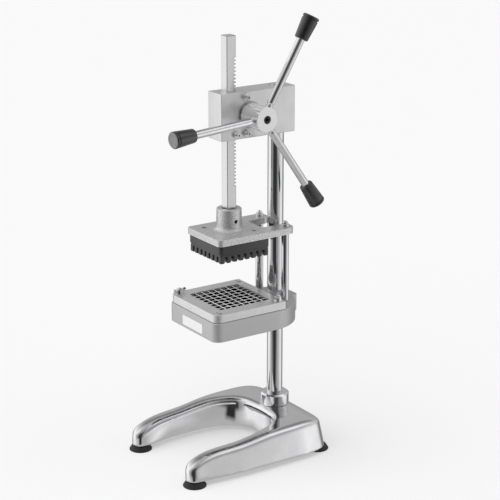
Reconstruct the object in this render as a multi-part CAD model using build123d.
from build123d import *
from math import acos, cos, pi, radians, sin, sqrt, tan
import os

# French fry cutter: a lever-type hand press with a rack and pinion.
# Millimetres, +Z up. The user stands on the -Y side and the turnstile is on
# the +X side. Origin: the ram's axis where it meets the worktop plane. The
# forms are drawn about the column's axis, and PRESS_AXIS moves each finished
# piece so that the ram's axis stands on the origin.

# ------------------------------------------------------------ driving sizes
COLUMN_D = 25.0
RAM_Y = -86.0
TURN_Z = 544.5
MODULE = 1.75
PINION_TEETH = 23
CELL_PITCH = 11.25
CELLS = 8
PLATE_TOP_Z = 366.0
FRAME_TOP_Z = 256.7

# ------------------------------------------------------------ fits
BORE_FIT = 0.05
SLIDE_FIT = 0.06
THREAD_FIT = 0.05
BACKLASH = 0.16

# ------------------------------------------------------------ derived sizes
OPENING = CELL_PITCH * CELLS
TOOTH_PITCH = pi * MODULE
PITCH_R = MODULE * PINION_TEETH / 2
RACK_W = 16.0
RACK_BACK_Y = RAM_Y + RACK_W / 2
TURN_Y = RACK_BACK_Y - MODULE + PITCH_R

# rubber feet and base casting
FOOT_R = 18.0
FOOT_NECK_R = 13.5
FOOT_H = 8.0
FOOT_SCREW_D = 5.0
FOOT_SCREW_UP = 12.0
FRONT_FOOT_X = 81.0
FRONT_FOOT_Y = -203.0
REAR_FOOT_X = 73.5
REAR_FOOT_Y = 32.0
BASE_Z = FOOT_H
BASE_WALL = 5.0
BASE_ROOF = 6.0
BASE_EDGE_R = 9.0
PEDESTAL_SEAM_R = 2.0
PEDESTAL_R = 22.0
PEDESTAL_TOP_Z = 62.0
COLUMN_SEAT_Z = 40.0
PEDESTAL_FLOOR_Z = 31.0
FOOT_BOSS_R = 8.5
# outline of the base at worktop level, and how far each wall leans in on the
# way up to PLAN_TOP_Z
PLAN_TOP_Z = 72.0
TIP_OUT_X = 94.5
TIP_OUT_LEAN = 4.5
WAIST_X = 101.5
WAIST_LEAN = 8.0
TIP_IN_X = 66.5
TIP_IN_LEAN = 0.5
BAY_X = 75.0
BAY_LEAN = 7.0
BACK_Y = 46.5
BACK_LEAN = 10.5
BAY_BACK_Y = -22.5
BAY_BACK_LEAN = 7.0
# the falling ridge of the base: heights at the column and along one leg
RIDGE_Z = 60.5
RIDGE_BACK_Z = 51.5
RIDGE_BACK_Y = 34.0
RIDGE_LOW_Z = 24.0
RIDGE_LOW_Y = 70.0
LEG_MIDDLE_Z = 52.0
LEG_MIDDLE_Y = -130.0
LEG_KNEE_Z = 42.5
LEG_KNEE_Y = -197.0
LEG_NOSE_Z = 31.5
LEG_NOSE_Y = -214.0
LEG_TOE_Z = 10.0
LEG_TOE_Y = -222.5

# column
COLUMN_TOP_Z = 566.0
COLLAR_R = 22.8
COLLAR_H = 19.0
COLLAR_CHAMFER = 2.5
BOTTOM_BOLT_D = 10.0
BOTTOM_BOLT_HEAD_R = 9.5
BOTTOM_BOLT_HEAD_H = 6.4
BOTTOM_BOLT_UP = 34.0
TOP_BOLT_D = 12.0
TOP_BOLT_HEAD_R = 11.0
TOP_BOLT_SINK = 5.5
TOP_BOLT_DOWN = 42.0

# gearbox block
BOX_HALF_X = 18.4
BOX_FRONT_Y = -110.7
BOX_REAR_Y = 22.8
BOX_HALF_Z = 35.7
BOX_EDGE = 1.2
BOX_BOTTOM_Z = TURN_Z - BOX_HALF_Z
BOX_TOP_Z = TURN_Z + BOX_HALF_Z
POCKET_HALF_X = 8.6
POCKET_R = 22.9
GIB_T = 4.0
GIB_PLAY = 0.3
GIB_FRONT_Y = RAM_Y - RACK_W / 2
GIB_REAR_Y = -62.0
GIB_HIGH_Z = 577.0
GIB_NOTCH_R = 13.5
GIB_SCREW_D = 6.0
GIB_SCREW_OUT_X = 27.4
GIB_SCREW_FRONT = (-85.0, 517.2)
GIB_SCREW_REAR = (-66.7, 517.2)
GIB_SCREW_HIGH = (-67.6, 572.6)
LOCK_NUT_T = 6.0
LOCK_NUT_AF = 10.0
NUT_DOME_R = 6.7
NUT_FACE_R = 3.9
COVER_T = 4.0
GIB_LOW_Z = BOX_BOTTOM_Z + COVER_T
COVER_SCREW_X = 9.4
COVER_HALF_X = 14.0
COVER_FRONT_Y = -104.5
COVER_REAR_Y = -24.0
COVER_SCREW_D = 4.0
COVER_SCREW_LEN = 13.0

# turnstile
SHAFT_D = 15.0
SHAFT_LEFT_X = -14.6
SHAFT_RIGHT_X = 54.0
BUSH_OD = 20.0
RIGHT_BUSH_OD = 24.0
FLANGE_R = 20.3
FLANGE_T = 2.6
PINION_HALF_W = 8.0
PIN_D = 4.0
HUB_R = 19.0
HUB_BACK_X = BOX_HALF_X + FLANGE_T + 0.4
HUB_FACE_X = 64.0
HUB_CHAMFER = 0.8
HUB_SCREW_D = 8.0
HUB_HEAD_R = 5.9
HUB_SINK_R = 6.3
HUB_SINK = 7.0
HUB_WEB_X = 54.4
HUB_KEY_W = 5.0
HUB_KEY_LEN = 22.0
HUB_KEY_SINK = 3.0
HUB_KEY_PROUD = 2.0
SPOKE_COUNT = 3
SPOKE_D = 12.0
SPOKE_ROOT_X = 53.5
SPOKE_LEAN = 5.0
SPOKE_FIRST = 62.9
SPOKE_STUD_D = 8.0
SPOKE_STUD_R = 10.6
SPOKE_SEAT_R = 18.0
SPOKE_SHOULDER_D = 10.6
SPOKE_NECK_D = 8.6
GRIP_INNER_R = 129.0
GRIP_OUTER_R = 166.5
GRIP_SMALL_D = 20.6
GRIP_LARGE_D = 26.0
GRIP_ROUND = 2.6
GRIP_BORE_D = 10.0

# ram
RACK_BOTTOM_Z = 374.0
RACK_TOP_Z = 664.0
RACK_TEETH_LOW = 20
RACK_TEETH_HIGH = 15
RACK_CHAMFER = 0.25
PLATE_T = 10.0
PLATE_HALF_X = 47.2
PLATE_FRONT_Y = -134.0
PLATE_ROD_X = 35.0
PLATE_ROD_Y = -6.0
PLATE_FRONT_R = 8.0
NOTCH_HALF_X = 21.5
ARM_CENTRE_Y = -6.6
NOTCH_FRONT_Y = -38.0
BOSS_TOP_Z = 400.0
BOSS_TOP_R = 19.1
BOSS_FOOT_R = 20.0
BOSS_FILLET = 8.5
BOSS_BORE_R = 11.6
BOSS_SCREW_D = 6.0
BOSS_SCREW_Z = 382.0
BLOCK_HALF = 43.2
BLOCK_RIM = 1.9
BLOCK_H = 28.5
BLOCK_RIM_H = 14.0
FINGER_SLOT_W = 2.8
FINGER_SLOT_DEEP = 10.5
FINGER_CHAMFER = 1.0
BLOCK_SCREW_D = 5.0
BLOCK_SCREW_OUT = 27.5
BLOCK_SCREW_LEN = 22.0
BLOCK_SCREW_SINK = 0.7

# cutter: casting, frame, blades and guide rods
FRAME_HALF_X = 66.5
FRAME_FRONT_Y = -153.5
FRAME_REAR_Y = -24.5
FRAME_FRONT_R = 13.0
FRAME_REAR_R = 3.0
FRAME_T = 13.0
FRAME_EDGE = 1.0
FRAME_SEAM = 1.1
CASTING_TOP_Z = FRAME_TOP_Z - FRAME_T
CASTING_H = 30.0
CASTING_HALF_X = 68.0
CASTING_FRONT_Y = -155.5
CASTING_REAR_CENTRE_Y = -44.0
CASTING_FRONT_R = 14.0
CASTING_WALL = 5.0
CASTING_ROOF = 6.0
CHUTE_GROW = 1.5
CHUTE_WALL = 4.0
COLUMN_BOSS_R = 20.5
RAISED_BOSS_R = 19.0
RAISED_BOSS_H = 9.3
ROD_BOSS_R = 9.0
CORNER_BOSS_R = 7.5
CLAMP_HALF_X = 17.0
CLAMP_REAR_Y = 32.5
CLAMP_SCREW_Z = 230.0
CLAMP_CORNER_R = 6.0
CLAMP_LOW_Z = 217.0
CLAMP_SCREW_D = 8.0
BLADE_T = 1.0
BLADE_H = 11.0
BLADE_TOP_DROP = 1.0
BLADE_SLOT_DEEP = 4.0
BLADE_SLOT_W = 1.2
LAP_SLOT_W = 1.12
LAP_CLEAR = 0.1
CORNER_X = 56.0
CORNER_FRONT_Y = -142.0
CORNER_REAR_Y = -33.5
STUD_D = 6.0
STUD_TOP_Z = FRAME_TOP_Z + 9.4
STUD_LOW_Z = 222.0
FRAME_PIN_D = 7.0
FRAME_PIN_HEAD_R = 5.2
WING_HUB_R = 6.2
WING_HUB_H = 7.8
WING_SPAN = 12.6
WING_H = 8.6
FRONT_WING_ANGLE = 100.0
REAR_WING_ANGLE = -34.0
WING_T = 2.6
ROD_D = 12.0
ROD_TOP_Z = 375.0
ROD_TIP = 4.5
ROD_TAIL_D = 8.0
ROD_TAIL_Z = 217.5
ROD_NUT_AF = 13.0
ROD_NUT_T = 5.0
ROD_BOSS_LOW_Z = 224.0


PRESS_AXIS = Pos(0, -RAM_Y, 0)


# ------------------------------------------------------------ small helpers
def upright(radius, low, high, x=0.0, y=0.0):
    """A round bar standing on the XY plane."""
    return Pos(x, y, (low + high) / 2) * Cylinder(radius, high - low)


def crosswise(radius, left, right, y, z):
    """A round bar lying along X."""
    return Pos((left + right) / 2, y, z) * Rot(0, 90, 0) * Cylinder(radius, right - left)


def brick(x0, x1, y0, y1, z0, z1):
    """A block given by its six faces."""
    centre = Pos((x0 + x1) / 2, (y0 + y1) / 2, (z0 + z1) / 2)
    return centre * Box(x1 - x0, y1 - y0, z1 - z0)


def hexagon_bar(across_flats, height):
    """A hexagonal prism centred on the origin."""
    return extrude(RegularPolygon(across_flats / sqrt(3), 6), height / 2, both=True)


def cone_bar(low_radius, high_radius, low, high, x=0.0, y=0.0):
    """A tapered round bar standing on the XY plane."""
    return Pos(x, y, (low + high) / 2) * Cone(low_radius, high_radius, high - low)


def mirrored(point):
    """The same place on the other side of the YZ plane."""
    return (-point[0], point[1])


def turned_back(points):
    """A line of points mirrored to the other side, running the other way."""
    return [mirrored(point) for point in reversed(points)]


# ------------------------------------------------------------ base
def base_side(tip, wide, back):
    """Right outer wall of the plan, from the toe round the rear corner to the middle."""
    return [
        (tip, FRONT_FOOT_Y),
        (wide - 3.5, -160.0),
        (wide, -95.0),
        (wide, -35.0),
        (wide - 3.2, back - 34.0),
        (wide - 11.0, back - 13.5),
        (wide - 30.0, back - 2.6),
        (wide - 58.0, back - 0.3),
        (0.0, back),
    ]


def bay_side(tip, half, back):
    """Right inner wall of the plan, from the toe to the middle of the bay."""
    return [
        (tip, FRONT_FOOT_Y),
        (half - 3.0, -165.0),
        (half, -118.0),
        (half - 5.0, -66.0),
        (half - 24.0, -36.0),
        (half - 48.0, back - 1.5),
        (0.0, back),
    ]


def base_plan(level, inset, lean):
    """U-shaped outline of the base, open to the front, at one height."""
    tip_outer = TIP_OUT_X - lean * TIP_OUT_LEAN - inset
    tip_inner = TIP_IN_X - lean * TIP_IN_LEAN + inset
    tip_r = (tip_outer - tip_inner) / 2
    toe = ((tip_outer + tip_inner) / 2, FRONT_FOOT_Y - tip_r)
    wide = WAIST_X - lean * WAIST_LEAN - inset
    back = BACK_Y - lean * BACK_LEAN - inset
    side = base_side(tip_outer, wide, back)
    bay_half = BAY_X - lean * BAY_LEAN + inset
    inner = bay_side(tip_inner, bay_half, BAY_BACK_Y - lean * BAY_BACK_LEAN + inset)
    rearward = (0, 1)
    leftward = (-1, 0)
    edges = []
    for line in (side, inner):
        edges.append(Spline(*line, tangents=(rearward, leftward)))
        left_line = [mirrored(point) for point in line]
        edges.append(Spline(*left_line, tangents=(rearward, (1, 0))))
    edges.append(ThreePointArc(inner[0], toe, side[0]))
    edges.append(ThreePointArc(mirrored(inner[0]), mirrored(toe), mirrored(side[0])))
    return Pos(0, 0, level) * make_face(Wire(edges))


def base_roof(drop):
    """Everything under the base's falling ridge, as one thick slab."""
    crest = [
        (RIDGE_LOW_Y, RIDGE_LOW_Z),
        (RIDGE_BACK_Y + 13.0, RIDGE_BACK_Z - 6.5),
        (RIDGE_BACK_Y, RIDGE_BACK_Z),
        (10.0, RIDGE_Z - 1.5),
        (-25.0, RIDGE_Z),
        (-76.0, RIDGE_Z - 1.9),
        (LEG_MIDDLE_Y, LEG_MIDDLE_Z),
        (LEG_KNEE_Y, LEG_KNEE_Z),
        (LEG_NOSE_Y, LEG_NOSE_Z),
        (LEG_TOE_Y, LEG_TOE_Z),
    ]
    line = Spline(*[(y, z - drop) for y, z in crest])
    floor = -30.0
    start = (RIDGE_LOW_Y, RIDGE_LOW_Z - drop)
    finish = (LEG_TOE_Y, LEG_TOE_Z - drop)
    rest = Polyline(finish, (LEG_TOE_Y, floor), (RIDGE_LOW_Y, floor), start)
    face = make_face(Wire([line, *rest.edges()]))
    return extrude(Plane.YZ * face, 120.0, both=True)


def base_block(inset, low, drop):
    """The solid U of the base, leaning walls, cut by its top surface."""
    lower = base_plan(low, inset, 0.0)
    upper = base_plan(PLAN_TOP_Z, inset, 1.0)
    return loft([lower, upper], ruled=True) & base_roof(drop)


def foot_places():
    return [
        (-FRONT_FOOT_X, FRONT_FOOT_Y),
        (FRONT_FOOT_X, FRONT_FOOT_Y),
        (-REAR_FOOT_X, REAR_FOOT_Y),
        (REAR_FOOT_X, REAR_FOOT_Y),
    ]


def soften(solid, edges, radii):
    """Rounds the edges with the largest radius that the form allows."""
    for radius in radii:
        try:
            rounded = fillet(edges, radius)
        except Exception:
            continue
        if rounded.is_valid:
            return rounded
    return solid


def ridge_edges(block):
    """The edges where the walls of the base meet its top surface."""
    return [edge for edge in block.edges() if edge.bounding_box().min.Z > 20.0]


def pedestal_seam(block):
    """The edges where the pedestal rises out of the base's top surface."""
    found = []
    for edge in block.edges():
        box = edge.bounding_box()
        reach = max(abs(box.min.X), abs(box.max.X), abs(box.min.Y), abs(box.max.Y))
        if reach < PEDESTAL_R + 0.5 and box.min.Z > 50.0 and box.max.Z < PEDESTAL_TOP_Z - 0.5:
            found.append(edge)
    return found


def base_casting():
    outer = base_block(0.0, BASE_Z, 0.0)
    outer = soften(outer, ridge_edges(outer), (BASE_EDGE_R, 8.0, 6.0, 4.0))
    outer = outer + upright(PEDESTAL_R, BASE_Z + 6.0, PEDESTAL_TOP_Z)
    outer = soften(outer, pedestal_seam(outer), (PEDESTAL_SEAM_R, 1.5, 1.0))
    hollow = base_block(BASE_WALL, BASE_Z - 2.0, BASE_ROOF)
    solid = outer - hollow
    solid = solid + upright(PEDESTAL_R, PEDESTAL_FLOOR_Z, PEDESTAL_TOP_Z)
    for x, y in foot_places():
        boss = upright(FOOT_BOSS_R, BASE_Z, 60.0, x, y) & base_block(1.0, BASE_Z, 1.0)
        solid = solid + boss
        hole_r = FOOT_SCREW_D / 2 + THREAD_FIT
        solid = solid - upright(hole_r, BASE_Z - 1.0, BASE_Z + FOOT_SCREW_UP + 2.0, x, y)
    solid = solid - upright(COLUMN_D / 2 + BORE_FIT, COLUMN_SEAT_Z, PEDESTAL_TOP_Z + 5.0)
    solid = solid - upright(BOTTOM_BOLT_D / 2 + 0.3, PEDESTAL_FLOOR_Z - 25.0, COLUMN_SEAT_Z + 1.0)
    solid = solid - upright(PEDESTAL_R - 5.0, BASE_Z - 3.0, PEDESTAL_FLOOR_Z)
    return solid


def rubber_foot(x, y):
    pad = cone_bar(FOOT_R, FOOT_NECK_R, 1.5, FOOT_H, x, y) + upright(FOOT_R, 0.0, 1.5, x, y)
    pad = pad - upright(6.2, -1.0, 4.0, x, y)
    pad = pad - upright(FOOT_SCREW_D / 2 + 0.15, 3.0, FOOT_H + 1.0, x, y)
    return soften(pad, pad.edges().filter_by(GeomType.CIRCLE).group_by(Axis.Z)[0][:1], (0.8,))


def foot_screws():
    screws = []
    for x, y in foot_places():
        head = upright(5.0, 1.2, 4.0, x, y)
        shank = upright(FOOT_SCREW_D / 2, 4.0, BASE_Z + FOOT_SCREW_UP, x, y)
        screws.append(head + shank)
    return screws


# ------------------------------------------------------------ column
def column():
    bar = upright(COLUMN_D / 2, COLUMN_SEAT_Z, COLUMN_TOP_Z)
    ends = bar.edges().filter_by(GeomType.CIRCLE)
    bar = chamfer(ends, 1.0)
    low_end = PEDESTAL_FLOOR_Z + BOTTOM_BOLT_UP + 2.0
    high_end = BOX_TOP_Z - TOP_BOLT_DOWN - 2.0
    bar = bar - upright(BOTTOM_BOLT_D / 2 + THREAD_FIT, COLUMN_SEAT_Z - 1.0, low_end)
    return bar - upright(TOP_BOLT_D / 2 + THREAD_FIT, high_end, COLUMN_TOP_Z + 1.0)


def column_collar():
    ring = upright(COLLAR_R, PEDESTAL_TOP_Z, PEDESTAL_TOP_Z + COLLAR_H)
    ring = chamfer(ring.edges().group_by(Axis.Z)[-1], COLLAR_CHAMFER)
    return ring - upright(COLUMN_D / 2 + BORE_FIT, PEDESTAL_TOP_Z - 1.0, PEDESTAL_TOP_Z + COLLAR_H + 1.0)


def bottom_bolt():
    washer_t = 2.0
    head_top = PEDESTAL_FLOOR_Z - washer_t
    head = Pos(0, 0, head_top - BOTTOM_BOLT_HEAD_H / 2) * hexagon_bar(17.0, BOTTOM_BOLT_HEAD_H)
    washer = upright(BOTTOM_BOLT_HEAD_R + 2.5, head_top, PEDESTAL_FLOOR_Z)
    shank = upright(BOTTOM_BOLT_D / 2, head_top - 1.0, PEDESTAL_FLOOR_Z + BOTTOM_BOLT_UP)
    return head + washer + shank


def top_bolt():
    head = cone_bar(TOP_BOLT_D / 2, TOP_BOLT_HEAD_R, BOX_TOP_Z - TOP_BOLT_SINK, BOX_TOP_Z - 0.4)
    shank = upright(TOP_BOLT_D / 2, BOX_TOP_Z - TOP_BOLT_DOWN, BOX_TOP_Z - TOP_BOLT_SINK + 1.0)
    socket = Pos(0, 0, BOX_TOP_Z - 3.0) * hexagon_bar(8.0, 7.0)
    return head + shank - socket


# ------------------------------------------------------------ gearbox
def gib_screw_places():
    return [GIB_SCREW_FRONT, GIB_SCREW_REAR, GIB_SCREW_HIGH]


def cover_screw_places():
    rows = (COVER_FRONT_Y + 5.2, COVER_REAR_Y - 5.0)
    return [(x, y) for x in (-COVER_SCREW_X, COVER_SCREW_X) for y in rows]


def gearbox_housing():
    block = brick(-BOX_HALF_X, BOX_HALF_X, BOX_FRONT_Y, BOX_REAR_Y, BOX_BOTTOM_Z, BOX_TOP_Z)
    block = fillet(block.edges(), BOX_EDGE)
    passage = brick(-RACK_W / 2 - SLIDE_FIT, RACK_W / 2 + SLIDE_FIT, GIB_FRONT_Y - SLIDE_FIT,
                    RACK_BACK_Y + SLIDE_FIT, BOX_BOTTOM_Z - 5.0, BOX_TOP_Z + 5.0)
    gib_room = brick(RACK_W / 2, RACK_W / 2 + SLIDE_FIT + GIB_T + GIB_PLAY, GIB_FRONT_Y - 0.3,
                     GIB_REAR_Y + 0.3, BOX_BOTTOM_Z - 5.0, GIB_HIGH_Z + 0.3)
    pocket_top = crosswise(POCKET_R, -POCKET_HALF_X, POCKET_HALF_X, TURN_Y, TURN_Z)
    pocket_low = brick(-POCKET_HALF_X, POCKET_HALF_X, TURN_Y - POCKET_R + 2.0, TURN_Y + POCKET_R,
                       BOX_BOTTOM_Z - 5.0, TURN_Z)
    block = block - passage - gib_room - pocket_top - pocket_low
    left_r = BUSH_OD / 2 + BORE_FIT
    left_bush_room = crosswise(left_r, SHAFT_LEFT_X, -POCKET_HALF_X + 1.0, TURN_Y, TURN_Z)
    bush_hole_r = RIGHT_BUSH_OD / 2 + BORE_FIT
    right_bush_room = crosswise(bush_hole_r, POCKET_HALF_X - 1.0, BOX_HALF_X + 5.0, TURN_Y, TURN_Z)
    block = block - left_bush_room - right_bush_room
    for y, z in gib_screw_places():
        block = block - crosswise(GIB_SCREW_D / 2 + THREAD_FIT, 10.0, BOX_HALF_X + 5.0, y, z)
    block = block - upright(COLUMN_D / 2 + BORE_FIT, BOX_BOTTOM_Z - 5.0, COLUMN_TOP_Z)
    block = block - upright(TOP_BOLT_D / 2 + 0.3, COLUMN_TOP_Z - 1.0, BOX_TOP_Z + 5.0)
    sink_z = BOX_TOP_Z - TOP_BOLT_SINK
    block = block - cone_bar(TOP_BOLT_D / 2 + 0.1, TOP_BOLT_HEAD_R + 0.5, sink_z, BOX_TOP_Z)
    recess = brick(-COVER_HALF_X - 0.2, COVER_HALF_X + 0.2, COVER_FRONT_Y - 0.2, COVER_REAR_Y + 0.2,
                   BOX_BOTTOM_Z - 5.0, BOX_BOTTOM_Z + COVER_T)
    block = block - recess
    for x, y in cover_screw_places():
        hole_r = COVER_SCREW_D / 2 + THREAD_FIT
        block = block - upright(hole_r, BOX_BOTTOM_Z, BOX_BOTTOM_Z + COVER_SCREW_LEN + 2.0, x, y)
    return block


def gearbox_cover():
    low = BOX_BOTTOM_Z
    high = BOX_BOTTOM_Z + COVER_T
    plate = brick(-COVER_HALF_X, COVER_HALF_X, COVER_FRONT_Y, COVER_REAR_Y, low, high)
    plate = fillet(plate.edges().filter_by(Axis.Z), 1.5)
    way = RACK_W / 2 + 0.4
    plate = plate - brick(-way, way, RAM_Y - way, RAM_Y + way, low - 2.0, high + 2.0)
    for x, y in cover_screw_places():
        plate = plate - upright(COVER_SCREW_D / 2 + 0.2, low - 1.0, high + 1.0, x, y)
        plate = plate - cone_bar(4.3, COVER_SCREW_D / 2 + 0.2, low, low + 2.1, x, y)
    return plate


def cover_screws():
    screws = []
    for x, y in cover_screw_places():
        head = cone_bar(4.1, COVER_SCREW_D / 2, BOX_BOTTOM_Z + 0.05, BOX_BOTTOM_Z + 2.05, x, y)
        shank = upright(COVER_SCREW_D / 2, BOX_BOTTOM_Z + 2.0, BOX_BOTTOM_Z + COVER_SCREW_LEN, x, y)
        screws.append(head + shank)
    return screws


def gib_near_x():
    return RACK_W / 2 + SLIDE_FIT


def rack_gib():
    x0 = gib_near_x()
    strip = brick(x0, x0 + GIB_T, GIB_FRONT_Y, GIB_REAR_Y, GIB_LOW_Z, GIB_HIGH_Z)
    strip = strip - crosswise(GIB_NOTCH_R, x0 - 1.0, x0 + GIB_T + 1.0, TURN_Y, TURN_Z)
    clear_y = RACK_BACK_Y + 3.0
    relief = brick(x0 - 1.0, POCKET_HALF_X + 0.1, clear_y, GIB_REAR_Y + 1.0,
                   TURN_Z - POCKET_R, TURN_Z + POCKET_R)
    return strip - relief


def gib_screws():
    screws = []
    for y, z in gib_screw_places():
        shank = crosswise(GIB_SCREW_D / 2, gib_near_x() + GIB_T, GIB_SCREW_OUT_X, y, z)
        rim = shank.edges().filter_by(GeomType.CIRCLE).group_by(Axis.X)[-1]
        shank = chamfer(rim, 0.6)
        socket = Pos(GIB_SCREW_OUT_X, y, z) * Rot(0, 90, 0) * hexagon_bar(3.0, 6.0)
        screws.append(shank - socket)
    return screws


def gib_lock_nuts():
    nuts = []
    for y, z in gib_screw_places():
        place = Pos(BOX_HALF_X + LOCK_NUT_T / 2, y, z) * Rot(0, 90, 0)
        body = hexagon_bar(LOCK_NUT_AF, LOCK_NUT_T)
        middle = LOCK_NUT_T / 2 - sqrt(NUT_DOME_R**2 - NUT_FACE_R**2)
        crown = Pos(0, 0, middle) * Sphere(NUT_DOME_R)
        bore = Cylinder(GIB_SCREW_D / 2 + THREAD_FIT, LOCK_NUT_T + 2.0)
        nuts.append(place * ((body & crown) - bore))
    return nuts


def left_bush():
    sleeve = crosswise(BUSH_OD / 2, SHAFT_LEFT_X, -POCKET_HALF_X, TURN_Y, TURN_Z)
    return sleeve - crosswise(SHAFT_D / 2 + 0.04, SHAFT_LEFT_X - 1.0, -POCKET_HALF_X + 1.0, TURN_Y, TURN_Z)


def flanged_bush():
    sleeve = crosswise(RIGHT_BUSH_OD / 2, POCKET_HALF_X, BOX_HALF_X, TURN_Y, TURN_Z)
    flange = crosswise(FLANGE_R, BOX_HALF_X, BOX_HALF_X + FLANGE_T, TURN_Y, TURN_Z)
    rim = flange.edges().filter_by(GeomType.CIRCLE).group_by(Axis.X)[-1]
    flange = chamfer(rim, 0.8)
    whole = sleeve + flange
    return whole - crosswise(SHAFT_D / 2 + 0.04, 0.0, BOX_HALF_X + FLANGE_T + 2.0, TURN_Y, TURN_Z)


# ------------------------------------------------------------ toothed parts
def involute_turn(base_radius, radius):
    """Angle that an involute has swept when it reaches a radius."""
    if radius <= base_radius:
        return 0.0
    roll = sqrt((radius / base_radius) ** 2 - 1.0)
    return roll - acos(base_radius / radius)


def polar(radius, angle):
    return (radius * cos(angle), radius * sin(angle))


def pinion_outline():
    """Outline of the pinion with a tooth gap centred on its first ray."""
    pressure = radians(20.0)
    base_r = PITCH_R * cos(pressure)
    tip_r = PITCH_R + MODULE
    root_r = PITCH_R - 1.25 * MODULE
    half_tooth = (TOOTH_PITCH / 2 - BACKLASH) / 2 / PITCH_R
    lead = half_tooth + involute_turn(base_r, PITCH_R)
    mid_r = (base_r + tip_r) / 2
    step = 2 * pi / PINION_TEETH
    edges = []
    for index in range(PINION_TEETH):
        centre = (index + 0.5) * step
        foot = lead
        middle = lead - involute_turn(base_r, mid_r)
        top = lead - involute_turn(base_r, tip_r)
        low_a = polar(root_r, centre - foot)
        base_a = polar(base_r, centre - foot)
        tip_a = polar(tip_r, centre - top)
        tip_b = polar(tip_r, centre + top)
        base_b = polar(base_r, centre + foot)
        low_b = polar(root_r, centre + foot)
        low_next = polar(root_r, centre + step - foot)
        edges.append(Line(low_a, base_a))
        edges.append(ThreePointArc(base_a, polar(mid_r, centre - middle), tip_a))
        edges.append(ThreePointArc(tip_a, polar(tip_r, centre), tip_b))
        edges.append(ThreePointArc(tip_b, polar(mid_r, centre + middle), base_b))
        edges.append(Line(base_b, low_b))
        edges.append(ThreePointArc(low_b, polar(root_r, centre + step / 2), low_next))
    return make_face(Wire(edges))


def drive_pinion():
    side_on = Plane((0, TURN_Y, TURN_Z), x_dir=(0, -1, 0), z_dir=(1, 0, 0))
    gear = extrude(side_on * pinion_outline(), PINION_HALF_W, both=True)
    gear = gear - crosswise(SHAFT_D / 2 + 0.02, -PINION_HALF_W - 1.0, PINION_HALF_W + 1.0, TURN_Y, TURN_Z)
    pin_hole = Pos(0, TURN_Y, TURN_Z) * Cylinder(PIN_D / 2 + 0.02, 2 * (PITCH_R + 4.0))
    return gear - pin_hole


def pinion_shaft():
    shaft = crosswise(SHAFT_D / 2, SHAFT_LEFT_X, SHAFT_RIGHT_X, TURN_Y, TURN_Z)
    shaft = chamfer(shaft.edges().filter_by(GeomType.CIRCLE), 0.8)
    shaft = shaft - Pos(0, TURN_Y, TURN_Z) * Cylinder(PIN_D / 2 + 0.02, 40.0)
    thread_r = HUB_SCREW_D / 2 + THREAD_FIT
    shaft = shaft - crosswise(thread_r, SHAFT_RIGHT_X - 22.0, SHAFT_RIGHT_X + 1.0, TURN_Y, TURN_Z)
    key_x = HUB_BACK_X + 3.0
    half = HUB_KEY_W / 2 + 0.02
    floor = TURN_Z + SHAFT_D / 2 - HUB_KEY_SINK
    keyway = brick(key_x, key_x + HUB_KEY_LEN, TURN_Y - half, TURN_Y + half, floor, TURN_Z + 20.0)
    return shaft - keyway


def pinion_pin():
    return Pos(0, TURN_Y, TURN_Z) * Cylinder(PIN_D / 2, 2 * (PITCH_R - 1.25 * MODULE - 0.5))


def hub_key():
    key_x = HUB_BACK_X + 3.0
    half = HUB_KEY_W / 2
    return brick(key_x + 0.1, key_x + HUB_KEY_LEN - 0.1, TURN_Y - half, TURN_Y + half,
                 TURN_Z + SHAFT_D / 2 - HUB_KEY_SINK, TURN_Z + SHAFT_D / 2 + HUB_KEY_PROUD)


def spoke_angle(index):
    return SPOKE_FIRST + index * 360.0 / SPOKE_COUNT


def spoke_place(index):
    """Frame of one spoke: local Z runs out along the spoke from the shaft's axis."""
    return Pos(SPOKE_ROOT_X, TURN_Y, TURN_Z) * Rot(spoke_angle(index) - 90.0, 0, 0) * Rot(0, SPOKE_LEAN, 0)


def hub():
    body = crosswise(HUB_R, HUB_BACK_X, HUB_FACE_X, TURN_Y, TURN_Z)
    body = chamfer(body.edges().filter_by(GeomType.CIRCLE), HUB_CHAMFER)
    body = body - crosswise(SHAFT_D / 2 + 0.03, HUB_BACK_X - 1.0, HUB_WEB_X, TURN_Y, TURN_Z)
    body = body - crosswise(HUB_SCREW_D / 2 + 0.3, HUB_WEB_X - 1.0, HUB_FACE_X + 1.0, TURN_Y, TURN_Z)
    body = body - crosswise(HUB_SINK_R, HUB_FACE_X - HUB_SINK, HUB_FACE_X + 1.0, TURN_Y, TURN_Z)
    half = HUB_KEY_W / 2 + 0.04
    keyway = brick(HUB_BACK_X - 1.0, HUB_BACK_X + HUB_KEY_LEN + 4.0, TURN_Y - half, TURN_Y + half,
                   TURN_Z, TURN_Z + SHAFT_D / 2 + HUB_KEY_PROUD + 0.3)
    body = body - keyway
    for index in range(SPOKE_COUNT):
        place = spoke_place(index)
        hole = upright(SPOKE_STUD_D / 2 + THREAD_FIT, SPOKE_STUD_R - 1.0, HUB_R + 4.0)
        seat = upright(SPOKE_SHOULDER_D / 2 + 0.5, SPOKE_SEAT_R, HUB_R + 6.0)
        body = body - place * hole - place * seat
    return body


def hub_screw():
    seat_x = HUB_FACE_X - HUB_SINK
    head = crosswise(HUB_HEAD_R, seat_x, seat_x + 5.6, TURN_Y, TURN_Z)
    rim = head.edges().filter_by(GeomType.CIRCLE).group_by(Axis.X)[-1]
    head = chamfer(rim, 0.5)
    shank = crosswise(HUB_SCREW_D / 2, SHAFT_RIGHT_X - 18.0, seat_x + 1.0, TURN_Y, TURN_Z)
    socket = Pos(seat_x + 5.6, TURN_Y, TURN_Z) * Rot(0, 90, 0) * hexagon_bar(5.0, 6.4)
    return head + shank - socket


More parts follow.
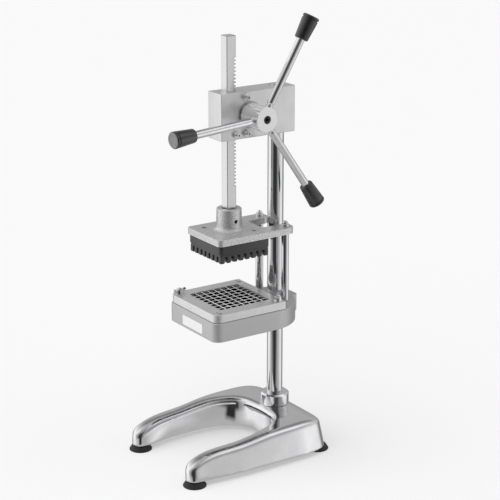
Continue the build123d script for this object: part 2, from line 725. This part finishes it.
def spoke(index):
    stud = upright(SPOKE_STUD_D / 2, SPOKE_STUD_R, SPOKE_SEAT_R + 1.0)
    shoulder = upright(SPOKE_SHOULDER_D / 2, SPOKE_SEAT_R, SPOKE_SEAT_R + 3.4)
    shoulder = fillet(shoulder.edges().group_by(Axis.Z)[-1], 1.0)
    neck = upright(SPOKE_NECK_D / 2, SPOKE_SEAT_R + 3.0, SPOKE_SEAT_R + 5.4)
    rod_low = SPOKE_SEAT_R + 5.0
    flare = cone_bar(SPOKE_NECK_D / 2, SPOKE_D / 2, rod_low, rod_low + 2.4)
    rod = upright(SPOKE_D / 2, rod_low + 2.4, GRIP_INNER_R)
    spigot = upright(GRIP_BORE_D / 2, GRIP_INNER_R - 1.0, GRIP_OUTER_R - 12.0)
    return spoke_place(index) * (stud + shoulder + neck + flare + rod + spigot)


def grip(index):
    taper = cone_bar(GRIP_SMALL_D / 2, GRIP_LARGE_D / 2, GRIP_INNER_R, GRIP_OUTER_R)
    taper = fillet(taper.edges().filter_by(GeomType.CIRCLE), GRIP_ROUND)
    taper = taper - upright(GRIP_BORE_D / 2 + BORE_FIT, GRIP_INNER_R - 1.0, GRIP_OUTER_R - 11.5)
    return spoke_place(index) * taper


# ------------------------------------------------------------ ram
def rack_tooth_gap(level):
    """Cutter for one gap of the rack, opening to the back."""
    pressure = tan(radians(20.0))
    pitch_y = RACK_BACK_Y - MODULE
    root_y = pitch_y - 1.25 * MODULE
    half = TOOTH_PITCH / 4 + BACKLASH / 2
    deep = half - (pitch_y - root_y) * pressure
    open_y = RACK_BACK_Y + 1.0
    wide = half + (open_y - pitch_y) * pressure
    outline = Polyline(
        (root_y, level - deep),
        (open_y, level - wide),
        (open_y, level + wide),
        (root_y, level + deep),
        close=True,
    )
    return extrude(Plane.YZ * make_face(outline), RACK_W, both=True)


def rack():
    half = RACK_W / 2
    bar = brick(-half, half, RAM_Y - half, RAM_Y + half, RACK_BOTTOM_Z, RACK_TOP_Z)
    bar = chamfer(bar.edges().filter_by(Axis.Z), 2 * RACK_CHAMFER)
    bar = chamfer(bar.faces().sort_by(Axis.Z)[-1].edges(), RACK_CHAMFER)
    numbers = range(-RACK_TEETH_LOW, RACK_TEETH_HIGH + 1)
    return bar - [rack_tooth_gap(TURN_Z + (k + 0.5) * TOOTH_PITCH) for k in numbers]


def plate_outline():
    arm_r = (PLATE_HALF_X - NOTCH_HALF_X) / 2
    arm_x = (PLATE_HALF_X + NOTCH_HALF_X) / 2
    deep = ARM_CENTRE_Y - PLATE_FRONT_Y
    square = Pos(0, (PLATE_FRONT_Y + ARM_CENTRE_Y) / 2) * Rectangle(2 * PLATE_HALF_X, deep)
    square = fillet(square.vertices().group_by(Axis.Y)[0], PLATE_FRONT_R)
    face = square
    for side in (-1, 1):
        face = face + Pos(side * arm_x, ARM_CENTRE_Y) * Circle(arm_r)
    notch = Pos(0, (NOTCH_FRONT_Y + 40.0) / 2) * Rectangle(2 * NOTCH_HALF_X, 40.0 - NOTCH_FRONT_Y)
    notch = fillet(notch.vertices().group_by(Axis.Y)[0], 4.0)
    return face - notch


def boss_fillet_ring(foot, radius):
    """Concave ring that flows from the boss's side into the plate's top."""
    outer = foot + radius
    profile = Wire([
        Line((foot - 1.0, 0), (outer, 0)),
        ThreePointArc((outer, 0), (outer - radius * sin(pi / 4), radius * (1 - cos(pi / 4))), (foot, radius)),
        Line((foot, radius), (foot - 1.0, radius)),
        Line((foot - 1.0, radius), (foot - 1.0, 0)),
    ])
    ring = revolve(Plane.XZ * make_face(profile), Axis.Z)
    return Pos(0, RAM_Y, PLATE_TOP_Z) * ring


def block_screw_places():
    return [(-BLOCK_SCREW_OUT, RAM_Y - BLOCK_SCREW_OUT), (BLOCK_SCREW_OUT, RAM_Y + BLOCK_SCREW_OUT)]


def pusher_plate():
    low = PLATE_TOP_Z - PLATE_T
    plate = Pos(0, 0, low) * extrude(plate_outline(), PLATE_T)
    plate = soften(plate, plate.edges().group_by(Axis.Z)[-1], (0.9, 0.6))
    boss = cone_bar(BOSS_FOOT_R, BOSS_TOP_R, PLATE_TOP_Z - 1.0, BOSS_TOP_Z, 0.0, RAM_Y)
    boss = fillet(boss.edges().group_by(Axis.Z)[-1], 1.2)
    plate = plate + boss + boss_fillet_ring(BOSS_FOOT_R - 0.3, BOSS_FILLET)
    plate = plate - upright(BOSS_BORE_R, RACK_BOTTOM_Z, BOSS_TOP_Z + 1.0, 0.0, RAM_Y)
    plate = plate - crosswise(BOSS_SCREW_D / 2 + THREAD_FIT, 5.0, 30.0, RAM_Y, BOSS_SCREW_Z)
    for x, y in block_screw_places():
        plate = plate - upright(BLOCK_SCREW_D / 2 + 0.25, low - 1.0, PLATE_TOP_Z + 1.0, x, y)
        sink = PLATE_TOP_Z - BLOCK_SCREW_SINK
        plate = plate - cone_bar(BLOCK_SCREW_D / 2 + 0.25, 5.5, sink - 3.1, sink + 0.01, x, y)
        plate = plate - upright(5.7, sink, PLATE_TOP_Z + 1.0, x, y)
    for side in (-1, 1):
        x = side * PLATE_ROD_X
        plate = plate - upright(ROD_D / 2 + SLIDE_FIT, low - 1.0, PLATE_TOP_Z + 1.0, x, PLATE_ROD_Y)
    return plate


def boss_screw():
    shank = crosswise(BOSS_SCREW_D / 2, RACK_W / 2, 16.6, RAM_Y, BOSS_SCREW_Z)
    socket = Pos(16.6, RAM_Y, BOSS_SCREW_Z) * Rot(0, 90, 0) * hexagon_bar(3.0, 6.0)
    return shank - socket


def finger_slots(low):
    """The crossing slots that leave the square fingers standing."""
    slots = []
    reach = BLOCK_HALF + 5.0
    for k in range(1, CELLS):
        offset = (k - CELLS / 2) * CELL_PITCH
        half = FINGER_SLOT_W / 2
        top = low + FINGER_SLOT_DEEP
        slots.append(brick(offset - half, offset + half, RAM_Y - reach, RAM_Y + reach, low - 1.0, top))
        slots.append(brick(-reach, reach, RAM_Y + offset - half, RAM_Y + offset + half, low - 1.0, top))
    return slots


def pusher_block():
    top = PLATE_TOP_Z - PLATE_T
    low = top - BLOCK_H
    half = BLOCK_HALF
    wide = half + BLOCK_RIM
    fingers = brick(-half, half, RAM_Y - half, RAM_Y + half, low, top)
    fingers = fillet(fingers.edges().filter_by(Axis.Z), 4.0)
    head = brick(-wide, wide, RAM_Y - wide, RAM_Y + wide, top - BLOCK_RIM_H, top)
    head = fillet(head.edges().filter_by(Axis.Z), 6.0)
    head = fillet(head.edges().group_by(Axis.Z)[0], 1.2)
    block = fingers + head
    block = block - finger_slots(low)
    tips = block.faces().group_by(Axis.Z)[0].edges()
    block = chamfer(tips, FINGER_CHAMFER)
    screw_end = PLATE_TOP_Z - BLOCK_SCREW_LEN
    for x, y in block_screw_places():
        block = block - upright(BLOCK_SCREW_D / 2 + THREAD_FIT, screw_end - 1.0, top + 1.0, x, y)
    return block


def block_screws():
    screws = []
    top = PLATE_TOP_Z - BLOCK_SCREW_SINK
    for x, y in block_screw_places():
        head = cone_bar(BLOCK_SCREW_D / 2, 5.1, top - 3.1, top - 0.2, x, y)
        crown = upright(5.1, top - 0.21, top + 0.7, x, y)
        crown = fillet(crown.edges().group_by(Axis.Z)[-1], 0.85)
        shank = upright(BLOCK_SCREW_D / 2, PLATE_TOP_Z - BLOCK_SCREW_LEN, top - 3.0, x, y)
        slots = Box(6.4, 1.2, 5.0) + Box(1.2, 6.4, 5.0)
        screws.append(head + crown + shank - Pos(x, y, top + 0.7) * Rot(0, 0, 30) * slots)
    return screws


# ------------------------------------------------------------ cutter
def casting_plan(inset):
    """Square front with round corners and a half-round back."""
    half = CASTING_HALF_X - inset
    front = CASTING_FRONT_Y + inset
    middle = CASTING_REAR_CENTRE_Y
    square = Pos(0, (front + middle) / 2) * Rectangle(2 * half, middle - front)
    square = fillet(square.vertices().group_by(Axis.Y)[0], max(CASTING_FRONT_R - inset, 2.0))
    return square + Pos(0, middle) * Circle(half)


def corner_places():
    return [(x, y) for x in (-CORNER_X, CORNER_X) for y in (CORNER_FRONT_Y, CORNER_REAR_Y)]


def stud_places():
    return [(-CORNER_X, CORNER_FRONT_Y), (CORNER_X, CORNER_REAR_Y)]


def pin_places():
    return [(CORNER_X, CORNER_FRONT_Y), (-CORNER_X, CORNER_REAR_Y)]


def casting_bosses(low, high):
    posts = upright(COLUMN_BOSS_R, low, high)
    for side in (-1, 1):
        posts = posts + upright(ROD_BOSS_R, ROD_BOSS_LOW_Z, high, side * PLATE_ROD_X, PLATE_ROD_Y)
    for x, y in corner_places():
        posts = posts + upright(CORNER_BOSS_R, low + 6.0, high, x, y)
    return posts


def cutter_casting():
    low = CASTING_TOP_Z - CASTING_H
    chute = OPENING / 2 + CHUTE_GROW
    body = Pos(0, 0, low) * extrude(casting_plan(0.0), CASTING_H)
    levels = body.edges().group_by(Axis.Z)
    body = soften(body, levels[-1] + levels[0], (1.5, 1.0))
    clamp = brick(-CLAMP_HALF_X, CLAMP_HALF_X, 0.0, CLAMP_REAR_Y, CLAMP_LOW_Z, CASTING_TOP_Z)
    clamp = fillet(clamp.edges().filter_by(Axis.Z), CLAMP_CORNER_R)
    body = body + clamp
    hollow = Pos(0, 0, low - 1.0) * extrude(casting_plan(CASTING_WALL), CASTING_H - CASTING_ROOF + 1.0)
    wall = chute + CHUTE_WALL
    keep = brick(-wall, wall, RAM_Y - wall, RAM_Y + wall, low, CASTING_TOP_Z)
    hollow = hollow - keep - casting_bosses(low, CASTING_TOP_Z)
    body = body - hollow
    boss_top = CASTING_TOP_Z + RAISED_BOSS_H
    boss = upright(RAISED_BOSS_R, low + 6.0, boss_top)
    body = body + fillet(boss.edges().group_by(Axis.Z)[-1], 1.2)
    body = body - brick(-chute, chute, RAM_Y - chute, RAM_Y + chute, low - 1.0, CASTING_TOP_Z + 1.0)
    body = body - upright(COLUMN_D / 2 + BORE_FIT, low - 1.0, boss_top + 1.0)
    for side in (-1, 1):
        x = side * PLATE_ROD_X
        body = body - upright(ROD_TAIL_D / 2 + THREAD_FIT, low - 1.0, CASTING_TOP_Z + 1.0, x, PLATE_ROD_Y)
    for x, y in corner_places():
        hole = STUD_D if (x, y) in stud_places() else FRAME_PIN_D
        body = body - upright(hole / 2 + THREAD_FIT, STUD_LOW_Z - 2.0, CASTING_TOP_Z + 1.0, x, y)
    along = Rot(90, 0, 0) * Cylinder(CLAMP_SCREW_D / 2 + THREAD_FIT, 30.0)
    return body - Pos(0, 24.0, CLAMP_SCREW_Z) * along


def clamp_screw():
    near = COLUMN_D / 2
    far = CLAMP_REAR_Y - 1.5
    shank = Pos(0, (near + far) / 2, CLAMP_SCREW_Z) * Rot(90, 0, 0) * Cylinder(CLAMP_SCREW_D / 2, far - near)
    socket = Pos(0, far, CLAMP_SCREW_Z) * Rot(90, 0, 0) * hexagon_bar(4.0, 8.0)
    return shank - socket


def frame_plan():
    front = FRAME_FRONT_Y
    rear = FRAME_REAR_Y
    square = Pos(0, (front + rear) / 2) * Rectangle(2 * FRAME_HALF_X, rear - front)
    square = fillet(square.vertices().group_by(Axis.Y)[0], FRAME_FRONT_R)
    return fillet(square.vertices().group_by(Axis.Y)[-1], FRAME_REAR_R)


def blade_offsets():
    return [(k - CELLS / 2) * CELL_PITCH for k in range(1, CELLS)]


def blade_frame():
    body = Pos(0, 0, CASTING_TOP_Z) * extrude(frame_plan(), FRAME_T)
    body = soften(body, body.edges().group_by(Axis.Z)[-1], (FRAME_EDGE, 0.6))
    body = chamfer(body.edges().group_by(Axis.Z)[0], FRAME_SEAM)
    half = OPENING / 2
    low = CASTING_TOP_Z - 1.0
    high = FRAME_TOP_Z + 1.0
    window = Pos(0, RAM_Y, (low + high) / 2) * Box(OPENING, OPENING, high - low)
    window = fillet(window.edges().filter_by(Axis.Z), 1.5)
    body = body - window
    reach = half + BLADE_SLOT_DEEP
    slot = BLADE_SLOT_W / 2
    for offset in blade_offsets():
        body = body - brick(offset - slot, offset + slot, RAM_Y - reach, RAM_Y + reach, low, high)
        body = body - brick(-reach, reach, RAM_Y + offset - slot, RAM_Y + offset + slot, low, high)
    for x, y in stud_places():
        body = body - upright(STUD_D / 2 + 0.3, low, high, x, y)
    for x, y in pin_places():
        body = body - upright(FRAME_PIN_D / 2 + 0.1, low, high, x, y)
        body = body - upright(FRAME_PIN_HEAD_R + 0.2, FRAME_TOP_Z - 2.5, high, x, y)
    return body


def blade_levels():
    top = FRAME_TOP_Z - BLADE_TOP_DROP
    return top - BLADE_H, top


def blade_across(offset):
    """A strip running along X, slotted from above at every crossing."""
    low, top = blade_levels()
    reach = OPENING / 2 + BLADE_SLOT_DEEP - 0.2
    strip = brick(-reach, reach, RAM_Y + offset - BLADE_T / 2, RAM_Y + offset + BLADE_T / 2, low, top)
    half = LAP_SLOT_W / 2
    middle = (low + top) / 2 - LAP_CLEAR / 2
    for cross in blade_offsets():
        y = RAM_Y + offset
        strip = strip - brick(cross - half, cross + half, y - 2.0, y + 2.0, middle, top + 1.0)
    return strip


def blade_along(offset):
    """A strip running along Y, slotted from below at every crossing."""
    low, top = blade_levels()
    reach = OPENING / 2 + BLADE_SLOT_DEEP - 0.2
    strip = brick(offset - BLADE_T / 2, offset + BLADE_T / 2, RAM_Y - reach, RAM_Y + reach, low, top)
    half = LAP_SLOT_W / 2
    middle = (low + top) / 2
    for cross in blade_offsets():
        y = RAM_Y + cross
        strip = strip - brick(offset - 2.0, offset + 2.0, y - half, y + half, low - 1.0, middle)
    return strip


def frame_studs():
    studs = []
    for x, y in stud_places():
        stud = upright(STUD_D / 2, STUD_LOW_Z, STUD_TOP_Z, x, y)
        studs.append(chamfer(stud.edges().filter_by(GeomType.CIRCLE).group_by(Axis.Z)[-1], 0.8))
    return studs


def frame_pins():
    pins = []
    for x, y in pin_places():
        shank = upright(FRAME_PIN_D / 2, STUD_LOW_Z, FRAME_TOP_Z - 2.5, x, y)
        head = upright(FRAME_PIN_HEAD_R, FRAME_TOP_Z - 2.5, FRAME_TOP_Z + 0.6, x, y)
        head = fillet(head.edges().group_by(Axis.Z)[-1], 0.8)
        slot = Pos(x, y, FRAME_TOP_Z + 0.6) * Rot(0, 0, 25) * Box(12.0, 1.2, 1.6)
        pins.append(shank + head - slot)
    return pins


def wing_nut(x, y, turn):
    """A low wing nut, its ears no higher than its boss."""
    low = FRAME_TOP_Z
    core = cone_bar(WING_HUB_R, WING_HUB_R - 1.2, low, low + WING_HUB_H, x, y)
    core = fillet(core.edges().group_by(Axis.Z)[-1], 1.6)
    inside = (WING_HUB_R - 2.4, WING_HUB_H - 2.2)
    outline = Wire([
        Line((0, 1.5), (WING_HUB_R - 0.5, 1.0)),
        Spline((WING_HUB_R - 0.5, 1.0), (WING_SPAN - 3.0, 2.6), (WING_SPAN, 5.2)),
        ThreePointArc((WING_SPAN, 5.2), (WING_SPAN - 1.0, WING_H - 0.9), (WING_SPAN - 3.6, WING_H)),
        Spline((WING_SPAN - 3.6, WING_H), (WING_HUB_R + 0.4, 6.9), inside),
        Line(inside, (0, WING_HUB_H - 2.2)),
        Line((0, WING_HUB_H - 2.2), (0, 1.5)),
    ])
    ear = extrude(Plane.XZ * make_face(outline), WING_T / 2, both=True)
    ear = soften(ear, ear.faces().filter_by(Axis.Y).edges().filter_by(GeomType.CIRCLE), (0.8, 0.5))
    place = Pos(x, y, low) * Rot(0, 0, turn)
    whole = core + place * ear + place * Rot(0, 0, 180) * ear
    return whole - upright(STUD_D / 2 + 0.06, low - 1.0, low + WING_H + 4.0, x, y)


def guide_rod(side):
    x = side * PLATE_ROD_X
    bar = upright(ROD_D / 2, CASTING_TOP_Z, ROD_TOP_Z - ROD_TIP, x, PLATE_ROD_Y)
    tip = cone_bar(ROD_D / 2, ROD_D / 2 - 3.4, ROD_TOP_Z - ROD_TIP, ROD_TOP_Z, x, PLATE_ROD_Y)
    tip = fillet(tip.edges().group_by(Axis.Z)[-1], 1.2)
    tail = upright(ROD_TAIL_D / 2, ROD_TAIL_Z, CASTING_TOP_Z, x, PLATE_ROD_Y)
    return bar + tip + tail


def rod_nuts():
    nuts = []
    for side in (-1, 1):
        place = Pos(side * PLATE_ROD_X, PLATE_ROD_Y, ROD_BOSS_LOW_Z - ROD_NUT_T / 2)
        body = hexagon_bar(ROD_NUT_AF, ROD_NUT_T) - Cylinder(ROD_TAIL_D / 2 + THREAD_FIT, ROD_NUT_T + 2.0)
        nuts.append(place * body)
    return nuts


# ------------------------------------------------------------ all the pieces
def pieces():
    parts = {
        "base_casting": base_casting(),
        "foot_screws": foot_screws(),
        "column": column(),
        "column_collar": column_collar(),
        "column_bottom_bolt": bottom_bolt(),
        "column_top_bolt": top_bolt(),
        "gearbox_housing": gearbox_housing(),
        "gearbox_cover": gearbox_cover(),
        "cover_screws": cover_screws(),
        "rack_gib": rack_gib(),
        "gib_screws": gib_screws(),
        "gib_lock_nuts": gib_lock_nuts(),
        "shaft_bush_left": left_bush(),
        "shaft_bush_flanged": flanged_bush(),
        "drive_pinion": drive_pinion(),
        "pinion_shaft": pinion_shaft(),
        "pinion_pin": pinion_pin(),
        "hub_key": hub_key(),
        "hub": hub(),
        "hub_screw": hub_screw(),
        "rack": rack(),
        "pusher_plate": pusher_plate(),
        "boss_set_screw": boss_screw(),
        "pusher_block": pusher_block(),
        "block_screws": block_screws(),
        "guide_rod_left": guide_rod(-1),
        "guide_rod_right": guide_rod(1),
        "rod_nuts": rod_nuts(),
        "cutter_casting": cutter_casting(),
        "casting_clamp_screw": clamp_screw(),
        "blade_frame": blade_frame(),
        "frame_studs": frame_studs(),
        "frame_pins": frame_pins(),
        "wing_nut_front": wing_nut(*stud_places()[0], FRONT_WING_ANGLE),
        "wing_nut_rear": wing_nut(*stud_places()[1], REAR_WING_ANGLE),
    }
    names = ["front_left", "front_right", "rear_left", "rear_right"]
    for name, place in zip(names, foot_places()):
        parts["foot_" + name] = rubber_foot(*place)
    for index in range(SPOKE_COUNT):
        parts["spoke_" + str(index + 1)] = spoke(index)
        parts["grip_" + str(index + 1)] = grip(index)
    for index, offset in enumerate(blade_offsets()):
        parts["blade_across_" + str(index + 1)] = blade_across(offset)
        parts["blade_along_" + str(index + 1)] = blade_along(offset)
    return parts


def as_solids(item):
    """Every separate solid of a piece or of a group of like fasteners."""
    if isinstance(item, (list, tuple)):
        found = []
        for member in item:
            found.extend(as_solids(member))
        return found
    return list(item.solids())


def main():
    os.makedirs("parts", exist_ok=True)
    for name, item in pieces().items():
        solids = [PRESS_AXIS * solid for solid in as_solids(item)]
        whole = solids[0] if len(solids) == 1 else Compound(children=solids)
        export_step(whole, "parts/" + name + ".step")
        print(name, len(solids), round(sum(s.volume for s in solids), 1))


if __name__ == "__main__":
    main()
